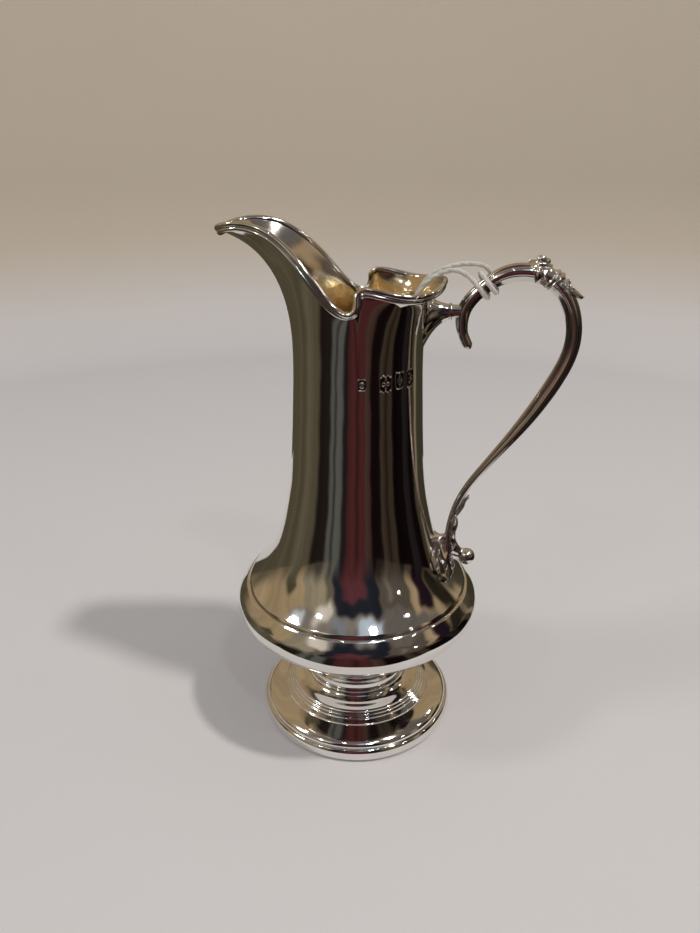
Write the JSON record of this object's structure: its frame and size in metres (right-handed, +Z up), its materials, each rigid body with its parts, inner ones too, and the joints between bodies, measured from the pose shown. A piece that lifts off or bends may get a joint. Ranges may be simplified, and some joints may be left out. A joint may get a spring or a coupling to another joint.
{
  "type": "silver cream jug",
  "caption": "Small silver jug of claret-jug form with a pinched spout, reeded lip, squat lower bulge, domed foot and a leaf-capped scroll handle.",
  "frame": {"origin": "middle of the footprint of the whole jug, on the surface it stands on", "axes": "+Z up, -X towards the spout, +X towards the handle, +Y across"},
  "size_m": [0.095, 0.0732, 0.1497],
  "materials": {
    "polished_silver": "polished sterling silver, fine polishing marks, pale gilt inside the mouth",
    "cast_silver": "cast and chased silver, darker in its hollows",
    "cotton": "twisted white cotton",
    "card": "plain uncoated card"
  },
  "bodies": {
    "root": {"foot_rim_wire": "polished_silver", "foot_dome": "polished_silver", "stem_collar": "polished_silver", "lower_bowl": "polished_silver", "upper_body": "polished_silver", "lip_wire": "polished_silver", "handle_scroll": "cast_silver", "handle_upper_bracket": "cast_silver", "handle_lower_bracket": "cast_silver", "crest_leaf": "cast_silver", "crest_rosette": "cast_silver", "crest_band_1": "cast_silver", "crest_band_2": "cast_silver", "back_leaf": "cast_silver", "lower_leaf": "cast_silver", "ball_terminal": "cast_silver", "tag_string": "cotton", "tag_card": "card"}
  },
  "joints": []
}
